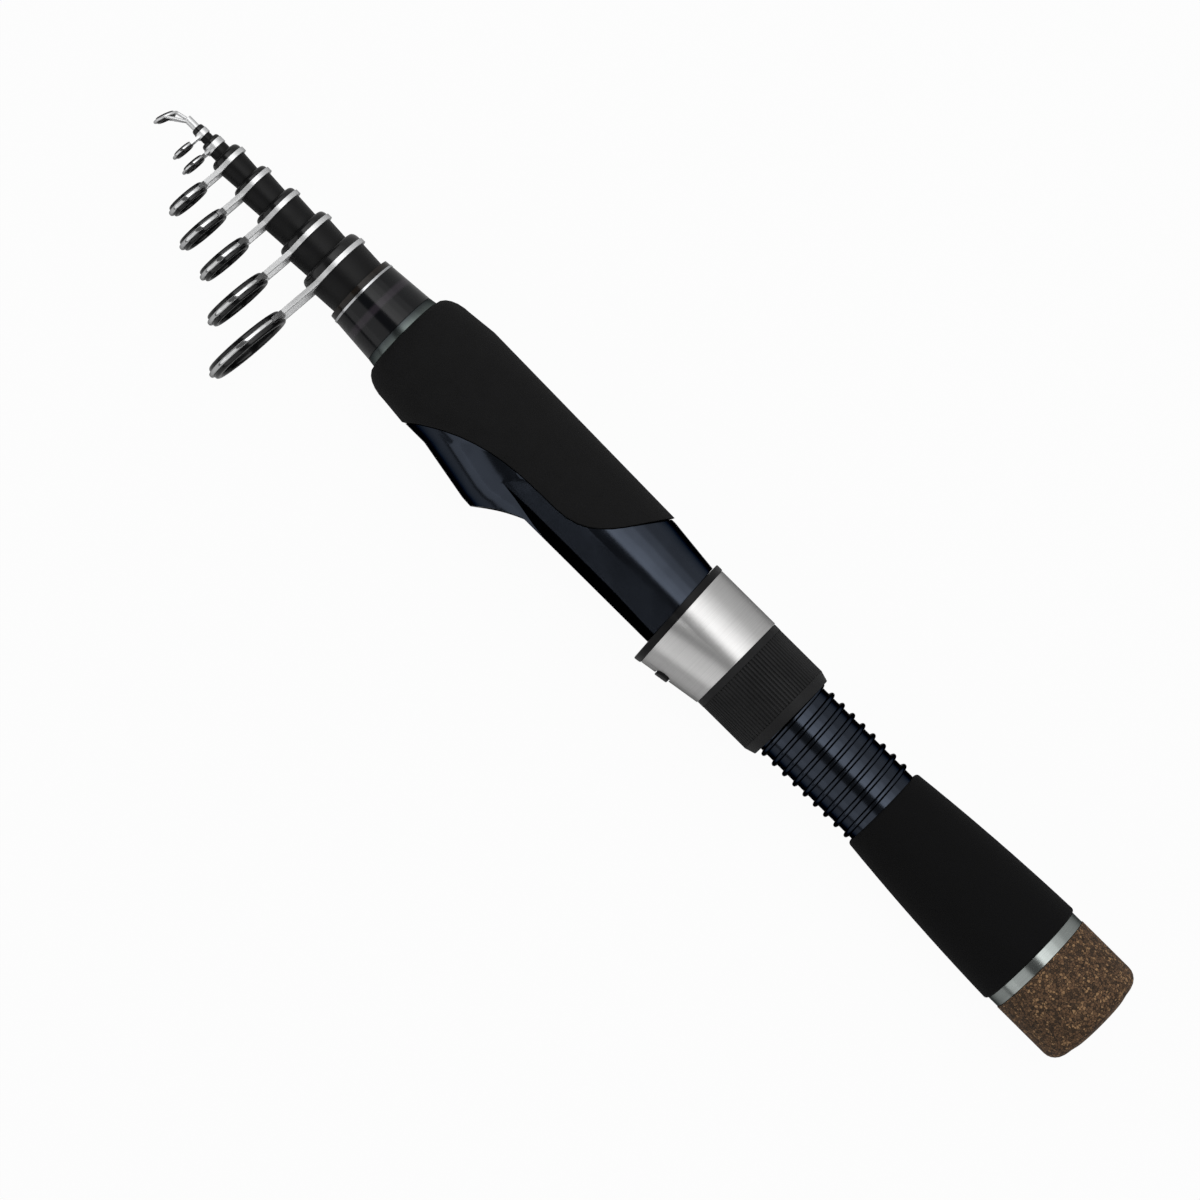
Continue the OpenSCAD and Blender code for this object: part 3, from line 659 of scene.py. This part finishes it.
@dataclass(frozen=True)
class RubberCork(Finish):
    """Cork granules bound with dark rubber. The finish's own colour is most granules' brown.

    Attributes:
        granules: Scale of the granules.
        warp_scale: Scale of the waves that bend the granules' edges.
        warp: Most that the waves shift an edge.
        tan: Colour of the bright granules.
        binder: Colour of the rubber.
        filled: Draws of a granule between which it turns from the binder's colour to brown.
        bright: Draws of a granule between which it turns to tan.
        seams: Distances from a granule's edge between which the seam of rubber ends.
        fleck_grain: Scale of the fine flecks.
        flecked: Heights of the fine grain between which flecks set in.
        fleck_share: Share of brown in a fleck.
        smoother: How much less rough the smoothest granules are.
    """

    relief: float = 5e-5
    granules: float = 1350.0
    warp_scale: float = 1500.0
    warp: float = 0.0006
    tan: Colour = (0.4, 0.235, 0.115)
    binder: Colour = (0.027, 0.0185, 0.012)
    filled: Limits = (0.1, 0.6)
    bright: Limits = (0.72, 0.95)
    seams: Limits = (0.02, 0.14)
    fleck_grain: float = 5200.0
    flecked: Limits = (0.35, 0.7)
    fleck_share: float = 0.6
    smoother: float = 0.15

    def vary(self, graph: Graph, shader: bpy.types.Node, shelf: EffectShelf) -> None:
        """Lays granules of several browns in the binder, some of them bright.

        Args:
            graph: The material's graph.
            shader: Its Principled shader.
            shelf: The shared effects.
        """
        bent = self.bend(graph)
        spots = {"Vector": bent, "Scale": self.granules}
        cells = graph.add("TexVoronoi", spots, feature="F1")
        edges = graph.add("TexVoronoi", spots, feature="DISTANCE_TO_EDGE")
        draws = graph.add("SeparateColor", {0: cells.outputs["Color"]}).outputs
        grain = shelf.put(graph, Effect.GRAIN, scale=self.fleck_grain)
        colour = graph.blend(graph.ramp(draws[0], *self.filled), self.binder, self.colour)
        colour = graph.blend(graph.ramp(draws[1], *self.bright), colour, self.tan)
        fleck = graph.math("MULTIPLY", graph.ramp(grain["Height"], *self.flecked), self.fleck_share)
        colour = graph.blend(fleck, colour, self.colour)
        seam = graph.ramp(edges.outputs["Distance"], *self.seams, 1.0, 0.0)
        colour = graph.blend(seam, colour, self.binder)
        height = graph.math("MULTIPLY", graph.math("SUBTRACT", draws[2], seam), 0.5)
        rough = graph.ramp(draws[2], 0.0, 1.0, self.roughness - self.smoother, self.roughness)
        self.join(graph, shader, colour, rough, height)

    def bend(self, graph: Graph) -> Socket:
        """Returns the point's place, shifted a little so that granules have uneven edges.

        Args:
            graph: The material's graph.

        Returns:
            The shifted place.
        """
        place = graph.place()
        waves = graph.add("TexNoise", {"Vector": place, "Scale": self.warp_scale, "Detail": 2.0})
        shift = graph.stretch(waves.outputs["Color"], (self.warp,) * 3)
        return graph.add("VectorMath", {0: place, 1: shift}, operation="ADD").outputs[0]


FORE_FOAM = Foam("fore_foam", (0.0066, 0.0066, 0.0069), 0.92, specular=0.2)
# The rear grip is the foregrip's foam painted darker and less shiny: painted shade.
REAR_FOAM_PAINTED_SHADE = Foam("rear_foam_painted_shade", (0.0034, 0.0034, 0.0037), 0.92, specular=0.15)
SEAT = Moulded(
    "seat_gloss", (0.042, 0.05, 0.066), 0.17, metallic=1.0, edge=(0.12, 0.12, 0.12),
    dark=0.94, light=1.06, dulling=0.03, relief=1.2e-6,
)
HOOD_PLASTIC = Moulded("hood_plastic", (0.0038, 0.0038, 0.0042), 0.38, specular=0.2, relief=5e-6)
NUT_PLASTIC = Moulded(
    "nut_plastic", (0.0105, 0.0106, 0.0112), 0.6, specular=0.25, relief=1.2e-5, grain=5200.0,
)
COLLAR = Moulded("collar_satin", (0.003, 0.003, 0.0034), 0.42, specular=0.22, relief=8e-6)
NOSE = Moulded("nose_gloss", (0.0042, 0.0042, 0.0046), 0.2, specular=0.45, relief=1.5e-6)
BUMPER = Moulded("bumper_rubber", (0.018, 0.018, 0.018), 0.75, specular=0.3, relief=1.5e-5)
CERAMIC = Moulded(
    "ring_ceramic", (0.0035, 0.0035, 0.004), 0.16, specular=0.4, dulling=0.05, relief=8e-7,
)
CORK = RubberCork("rubber_cork", (0.155, 0.086, 0.045), 0.88, specular=0.25)
HOOD_METAL = Metal("hood_metal", (0.68, 0.675, 0.67), 0.34, edge=(0.3, 0.3, 0.3))
TRIM_METAL = Metal(
    "trim_metal", (0.375, 0.405, 0.392), 0.2, edge=(0.15, 0.15, 0.15), lines=6500.0,
)
BRIGHT_TRIM = Metal("bright_trim", (0.62, 0.63, 0.645), 0.2)
SOCKET_METAL = Metal("socket_metal", (0.42, 0.435, 0.45), 0.32, relief=3e-6, lines=4200.0)
CHROME = GuideMetal("guide_chrome", (0.9, 0.905, 0.91), 0.42, edge=(0.5, 0.5, 0.5))
CARBON = RolledTube("carbon_tube", (0.011, 0.0115, 0.013), 0.22, coat=0.5)
GLASS_TIP = RolledTube("glass_tip", (0.009, 0.0095, 0.0105), 0.26, coat=0.3, tape=0.0018)
# The winding check's band is painted sheen: a lighter metal colour near the foregrip, fading
# towards the wrap.
CHECK_METAL_PAINTED_SHEEN = BandedLacquerAndSheen(
    "check_metal", (0.05, 0.056, 0.062), 0.24, metallic=1.0, edge=(0.4, 0.4, 0.4),
    bands=(Band(0.2538, 0.0004, 0.0022, (0.13, 0.153, 0.147)),),
)
WRAP = BandedLacquerAndSheen(
    "front_lacquer", (0.0026, 0.0031, 0.0043), 0.15, specular=0.33,
    bands=(
        Band(0.2634, 0.0006, 0.0007, (0.026, 0.021, 0.028)),
        Band(0.2715, 0.0012, 0.0014, (0.013, 0.0092, 0.007)),
    ),
)


class Workshop:
    """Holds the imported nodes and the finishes, and dresses pieces with them."""

    def __init__(self, frame: dict) -> None:
        """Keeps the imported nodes.

        Args:
            frame: The loaded frame.
        """
        self.nodes: dict[str, bpy.types.Object] = frame["nodes"]
        self.shelf = EffectShelf()
        self.made: dict[str, bpy.types.Material] = {}

    def paint(self, piece: bpy.types.Object, finish: Finish) -> None:
        """Gives a piece its finish's material, which is built at its first use.

        Args:
            piece: The piece.
            finish: Its finish.
        """
        if finish.name not in self.made:
            self.made[finish.name] = finish.make(self.shelf)
        piece.data.materials.clear()
        piece.data.materials.append(self.made[finish.name])

    def dress(
        self,
        node: str,
        finish: Finish,
        crease: float = CREASE,
        rounding: float = 0.0,
        even_sides: bool = False,
    ) -> None:
        """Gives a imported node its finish, smooth sides and rounded or sharp edges.

        Args:
            node: The node's name.
            finish: Its finish.
            crease: Edges sharper than this many degrees are rounded, or stay sharp.
            rounding: Width of the rounding of the edges, in metres, or 0 for none.
            even_sides: Whether large faces lead the shading next to them, as they do on every
                rounded piece.
        """
        piece = self.nodes[node]
        self.paint(piece, finish)
        piece.data.polygons.foreach_set("use_smooth", [True] * len(piece.data.polygons))
        weld = piece.modifiers.new("weld", "WELD")
        weld.merge_threshold = WELD_GAP
        if rounding:
            bevel = piece.modifiers.new("round", "BEVEL")
            bevel.width, bevel.segments = rounding, ROUNDING_STEPS
            bevel.limit_method = "ANGLE"
            bevel.angle_limit = math.radians(crease)
            bevel.use_clamp_overlap = False
        split = piece.modifiers.new("crease", "EDGE_SPLIT")
        split.split_angle = math.radians(crease)
        if rounding or even_sides:
            even = piece.modifiers.new("even", "WEIGHTED_NORMAL")
            even.mode = "FACE_AREA_WITH_ANGLE"
        log.info("dressed %s with %s", node, finish.name)

    def keep(
        self, piece: bpy.types.Object, name: str, body: str, finish: Finish
    ) -> None:
        """Names a new piece, gives it its finish and lets it ride on a body.

        Args:
            piece: The new piece, in place.
            name: Its name.
            body: The body that carries it.
            finish: Its finish.
        """
        piece.name = name
        piece.data.name = name
        self.paint(piece, finish)
        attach(piece, body)
        log.info("made %s on %s with %s", name, body, finish.name)


@dataclass(frozen=True)
class ScrewThread:
    """A right-hand thread, swept from one ridge's outline round the rod's axis.

    Attributes:
        start: Station of the ridge's middle where the thread starts.
        root: Radius at the ridge's foot.
        crest: Radius at its top.
        width: Its width at the foot.
        pitch: Way along the rod in one turn.
        turns: Number of turns.
        first_turn: Turn of the whole thread round the rod, in radians.
        top_share: Width of its top as a share of the width at its foot.
        corner_share: Rounding of its top's corners as a share of its height.
        corner_steps: Steps of a rounded corner.
        steps: Steps of one turn.
        crease: Edges sharper than this many degrees stay sharp.
    """

    start: float
    root: float
    crest: float
    width: float
    pitch: float
    turns: int
    first_turn: float = 0.0
    top_share: float = 0.55
    corner_share: float = 0.35
    corner_steps: int = 3
    steps: int = 72
    crease: float = 40.0

    def build(self) -> bpy.types.Object:
        """Models the thread.

        Returns:
            The thread's object, at the origin with its place in its mesh.
        """
        ridge = self.draw_ridge()
        self.sweep(ridge)
        self.close()
        return ridge

    def draw_ridge(self) -> bpy.types.Object:
        """Draws the outline of the ridge as a ring of edges.

        Returns:
            The outline's object, the active one, in object mode.
        """
        height = self.crest - self.root
        middle = self.root + height / 2
        bpy.ops.object.select_all(action="DESELECT")
        bpy.ops.mesh.primitive_plane_add(size=1.0, location=(0.0, 0.0, 0.0))
        ridge = bpy.context.object
        bpy.ops.object.mode_set(mode="EDIT")
        bpy.ops.mesh.select_all(action="SELECT")
        bpy.ops.transform.resize(value=(self.width, height, 1.0))
        bpy.ops.transform.translate(value=(self.start, middle, 0.0))
        self.pick(ridge, lambda place: place.y > middle)
        bpy.ops.transform.resize(
            value=(self.top_share, 1.0, 1.0), center_override=(self.start, self.crest, 0.0)
        )
        bpy.ops.mesh.bevel(
            offset=self.corner_share * height, segments=self.corner_steps, affect="VERTICES"
        )
        bpy.ops.mesh.select_all(action="SELECT")
        bpy.ops.mesh.delete(type="ONLY_FACE")
        bpy.ops.object.mode_set(mode="OBJECT")
        return ridge

    def sweep(self, ridge: bpy.types.Object) -> None:
        """Sweeps the outline along the thread.

        Args:
            ridge: The outline's object, the active one.
        """
        sweep = ridge.modifiers.new("sweep", "SCREW")
        sweep.axis = "X"
        sweep.screw_offset = self.pitch
        sweep.iterations = self.turns
        sweep.steps = sweep.render_steps = self.steps
        bpy.ops.object.modifier_apply(modifier=sweep.name)

    def close(self) -> None:
        """Closes the ends of the swept thread, turns it to its start and smooths its sides."""
        bpy.ops.object.mode_set(mode="EDIT")
        bpy.ops.mesh.select_all(action="SELECT")
        bpy.ops.mesh.remove_doubles(threshold=SWEEP_GAP)
        bpy.ops.mesh.fill_holes(sides=0)
        bpy.ops.mesh.select_all(action="SELECT")
        bpy.ops.mesh.normals_make_consistent(inside=False)
        bpy.ops.transform.rotate(
            value=self.first_turn,
            orient_axis="X",
            orient_type="GLOBAL",
            center_override=(0.0, 0.0, 0.0),
        )
        bpy.ops.object.mode_set(mode="OBJECT")
        bpy.ops.object.shade_smooth_by_angle(angle=math.radians(self.crease))

    def pick(self, piece: bpy.types.Object, test: Callable[[Vector], bool]) -> None:
        """Selects the vertices of a piece in edit mode whose place passes a test.

        Args:
            piece: The piece in edit mode.
            test: Takes a vertex's place and says whether to select it.
        """
        bpy.ops.object.mode_set(mode="OBJECT")
        for part in (piece.data.vertices, piece.data.edges, piece.data.polygons):
            part.foreach_set("select", [False] * len(part))
        for vertex in piece.data.vertices:
            vertex.select = test(vertex.co)
        bpy.ops.object.mode_set(mode="EDIT")


@dataclass
class Handle:
    """Grips, blank and front wrap, which stay together."""

    grip_rounding: float = 0.0003
    foregrip_crease: float = 40.0
    check_rounding: float = 0.0002

    def dress(self, shop: Workshop) -> None:
        """Gives the handle's nodes their finishes.

        Args:
            shop: Holds the nodes and the finishes.
        """
        # The rear grip's foam carries painted shade: darker and less shiny than the foregrip's.
        shop.dress("rear_grip", REAR_FOAM_PAINTED_SHADE, rounding=self.grip_rounding)
        shop.dress("foregrip", FORE_FOAM, self.foregrip_crease, self.grip_rounding)
        shop.dress("winding_check", CHECK_METAL_PAINTED_SHEEN, rounding=self.check_rounding)
        shop.dress("handle_blank", CARBON)
        shop.dress("butt_socket", SOCKET_METAL)
        shop.dress("front_wrap", WRAP)
        shop.dress("mouth_ring", BRIGHT_TRIM)


@dataclass
class ReelSeat:
    """Moulded seat with the thread that the lock nut runs on."""

    crease: float = 28.0
    thread: ScrewThread = ScrewThread(
        start=0.0800, root=0.01115, crest=0.0123, width=0.0017, pitch=0.00375, turns=19,
        first_turn=math.radians(90.0),
    )

    def build(self, shop: Workshop) -> None:
        """Dresses the seat and models its thread."""
        shop.dress("reel_seat", SEAT, self.crease, even_sides=True)
        shop.keep(self.thread.build(), "seat_thread", "handle", SEAT)


@dataclass
class MovingHood:
    """Hood over the rear of the reel's foot, and the nut that pushes it."""

    crease: float = 40.0
    core_rounding: float = 0.0003
    shell_rounding: float = 0.00015
    nut_crease: float = 25.0
    nut_rounding: float = 0.0001

    def dress(self, shop: Workshop) -> None:
        """Gives the hood and the nut their finishes.

        Args:
            shop: Holds the nodes and the finishes.
        """
        shop.dress("hood_core", HOOD_PLASTIC, self.crease, self.core_rounding)
        shop.dress("hood_shell", HOOD_METAL, self.crease, self.shell_rounding)
        shop.dress("lock_nut", NUT_PLASTIC, self.nut_crease, self.nut_rounding)


@dataclass
class ButtCap:
    """Cork cap on its screw plug, with the trim ring in front of it."""

    ring_crease: float = 40.0
    ring_rounding: float = 0.0002
    thread: ScrewThread = ScrewThread(
        start=0.0261, root=0.0088, crest=0.00904, width=0.0008, pitch=0.0015, turns=6
    )

    def build(self, shop: Workshop) -> None:
        """Dresses the cap's nodes and models the plug's thread.

        Args:
            shop: Holds the nodes and the finishes.
        """
        shop.dress("trim_ring", TRIM_METAL, self.ring_crease, self.ring_rounding)
        shop.dress("butt_plug", SOCKET_METAL)
        shop.dress("butt_cork", CORK)
        shop.dress("butt_bumper", BUMPER)
        shop.keep(self.thread.build(), "plug_thread", "butt_cap", SOCKET_METAL)


@dataclass
class GuidedSection:
    """One sliding tube with its collar, guide and nose.

    Attributes:
        number: The section's number, counted from the tip.
        rim_from: Height over the rod's axis where its guide's polished rim starts.
    """

    number: int
    rim_from: float

    def dress(self, shop: Workshop) -> None:
        """Gives the section's nodes their finishes.

        Args:
            shop: Holds the nodes and the finishes.
        """
        guide = replace(CHROME, name=f"{CHROME.name}_{self.number}", rim_from=self.rim_from)
        shop.dress(f"tube_{self.number}", CARBON)
        shop.dress(f"collar_{self.number}", COLLAR)
        shop.dress(f"guide_frame_{self.number}", guide)
        shop.dress(f"guide_ring_{self.number}", CERAMIC)
        shop.dress(f"nose_{self.number}", NOSE)


@dataclass
class TipSection:
    """Solid tip with the tip guide, which is satin all over."""

    crease: float = CREASE

    def dress(self, shop: Workshop) -> None:
        """Gives the tip's nodes their finishes.

        Args:
            shop: Holds the nodes and the finishes.
        """
        shop.dress("tip_rod", GLASS_TIP, self.crease)
        shop.dress("tip_top_frame", CHROME, self.crease)
        shop.dress("tip_top_ring", CERAMIC, self.crease)


SECTIONS = (
    GuidedSection(2, 0.0029),
    GuidedSection(3, 0.0034),
    GuidedSection(4, 0.0085),
    GuidedSection(5, 0.0099),
    GuidedSection(6, 0.0112),
    GuidedSection(7, 0.0143),
    GuidedSection(8, 0.0182),
)


def stand(place: Vector, across: Vector, back: Vector) -> Matrix:
    """Places a lamp or a camera.

    Args:
        place: Where it stands.
        across: Its side, level in what it sees or lights.
        back: Away from what it faces.

    Returns:
        Its place and turn as a matrix.
    """
    turned = Matrix((across, back.cross(across), back)).transposed()
    return Matrix.Translation(place) @ turned.to_4x4()


@dataclass(frozen=True)
class Softbox:
    """A flat lamp that hangs beside the rod and faces it.

    Attributes:
        name: The lamp's name.
        lean: Degrees from straight over the rod towards the guides' side.
        distance: Distance from the rod.
        length: Size along the rod.
        width: Size across.
        glow: Brightness of its face.
    """

    name: str
    lean: float
    distance: float
    length: float
    width: float
    glow: float

    def hang(self, target: Vector) -> None:
        """Hangs the lamp.

        Args:
            target: The point that it faces.
        """
        lean = math.radians(self.lean)
        toward = Vector((0.0, math.sin(lean), math.cos(lean)))
        lamp = bpy.data.lights.new(self.name, "AREA")
        lamp.shape = "RECTANGLE"
        lamp.size, lamp.size_y = self.length, self.width
        lamp.energy = self.glow * math.pi * self.length * self.width
        holder = bpy.data.objects.new(self.name, lamp)
        along_rod = Vector((1.0, 0.0, 0.0))
        holder.matrix_world = stand(target + toward * self.distance, along_rod, toward)
        holder.visible_camera = False
        bpy.context.scene.collection.objects.link(holder)


@dataclass
class Studio:
    """Floor, lamps, surroundings and camera.

    Attributes:
        floor_z: Height of the floor.
        floor_size: Side of the floor.
        floor_grey: Its paint.
        floor_seen: Share of white that the camera sees on it, over the shaded paint.
        floor_reflected: Share of white that reflections show on it.
        aim: Point that the camera faces.
        camera_place: Where the camera stands.
        view_width: Width of the view at the rod.
        sensor: Width of the camera's sensor in millimetres.
        rod_right: How far the rod's +X points right in the view.
        rod_up: How far it points up.
        ambient: Light of the surroundings.
        lamps: The lamps.
    """

    floor_z: float = -0.0169
    floor_size: float = 8.0
    floor_grey: float = 0.6
    floor_seen: float = 0.96
    floor_reflected: float = 0.06
    aim: tuple[float, float, float] = (0.1693, 0.0133, 0.0)
    camera_place: tuple[float, float, float] = (0.14, 0.0133, 1.5)
    view_width: float = 0.3121
    sensor: float = 36.0
    rod_right: float = -0.710
    rod_up: float = 0.704
    ambient: float = 0.09
    lamps: tuple[Softbox, ...] = (
        Softbox("key_near", -9.5, 1.05, 2.6, 0.202, 1.8),
        Softbox("key_middle", -21.5, 1.05, 2.6, 0.239, 1.55),
        Softbox("key_far", -37.5, 1.05, 2.6, 0.351, 1.15),
        Softbox("side_near", -57.0, 1.05, 2.6, 0.37, 0.72),
        Softbox("side_far", -79.0, 1.05, 2.6, 0.446, 0.42),
        Softbox("fill", 45.0, 1.05, 2.6, 0.74, 0.62),
        Softbox("strip", 73.0, 1.0, 2.6, 0.34, 0.75),
    )

    def set_up(self) -> None:
        """Builds the whole stage."""
        self.lay_floor()
        self.light()
        self.set_camera()

    def lay_floor(self) -> None:
        """Lays the floor under the rod."""
        bpy.ops.object.select_all(action="DESELECT")
        bpy.ops.mesh.primitive_plane_add(
            size=self.floor_size, location=(self.aim[0], 0.0, self.floor_z)
        )
        floor = bpy.context.object
        floor.name = "floor"
        floor.data.materials.append(self.mix_floor_paint())

    def mix_floor_paint(self) -> bpy.types.Material:
        """Mixes a paint that the camera sees nearly white, with a faint shadow.

        Returns:
            The floor's material.
        """
        material = bpy.data.materials.new("floor_white")
        material.use_nodes = True
        graph = Graph(material.node_tree)
        rays = graph.add("LightPath").outputs
        mirrored = graph.math("MAXIMUM", rays["Is Glossy Ray"], rays["Is Transmission Ray"])
        mirrored = graph.math("MULTIPLY", mirrored, self.floor_reflected)
        direct = graph.math("MULTIPLY", rays["Is Camera Ray"], self.floor_seen)
        share = graph.math("MAXIMUM", direct, mirrored)
        paint = graph.add("BsdfDiffuse", {"Color": (*(self.floor_grey,) * 3, 1.0)})
        glow = graph.add("Emission", {"Color": WHITE, "Strength": 1.0})
        mixed = graph.add("MixShader", {0: share, 1: paint.outputs[0], 2: glow.outputs[0]})
        output = material.node_tree.nodes["Material Output"]
        graph.link(mixed.outputs[0], output.inputs["Surface"])
        return material

    def light(self) -> None:
        """Hangs the lamps and sets dim surroundings that the camera sees as white."""
        target = Vector((self.aim[0], 0.0, 0.0))
        for lamp in self.lamps:
            lamp.hang(target)
        world = bpy.data.worlds.new("studio")
        bpy.context.scene.world = world
        world.use_nodes = True
        graph = Graph(world.node_tree)
        seen = graph.add("LightPath").outputs["Is Camera Ray"]
        strength = graph.ramp(seen, 0.0, 1.0, self.ambient, 1.0)
        background = world.node_tree.nodes["Background"]
        background.inputs["Color"].default_value = WHITE
        graph.link(strength, background.inputs["Strength"])

    def set_camera(self) -> None:
        """Sets the camera above the rod, turned so that the tip points to the upper left."""
        place = Vector(self.camera_place)
        back = place - Vector(self.aim)
        camera = bpy.data.objects.new("camera", bpy.data.cameras.new("camera"))
        camera.data.sensor_width = self.sensor
        camera.data.lens = self.sensor * back.length / self.view_width
        back.normalize()
        level = Vector((self.rod_right, -self.rod_up, 0.0))
        right = (level - back * level.dot(back)).normalized()
        camera.matrix_world = stand(place, right, back)
        bpy.context.scene.collection.objects.link(camera)
        bpy.context.scene.camera = camera
        bpy.context.scene.view_settings.view_transform = "Standard"


def main() -> None:
    """Dresses the rod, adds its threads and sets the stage."""
    logging.basicConfig(level=logging.INFO, format="%(name)s: %(message)s")
    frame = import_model()
    shop = Workshop(frame)
    Handle().dress(shop)
    ReelSeat().build(shop)
    MovingHood().dress(shop)
    ButtCap().build(shop)
    for section in SECTIONS:
        section.dress(shop)
    TipSection().dress(shop)
    Studio().set_up()


if __name__ == "__main__":
    main()
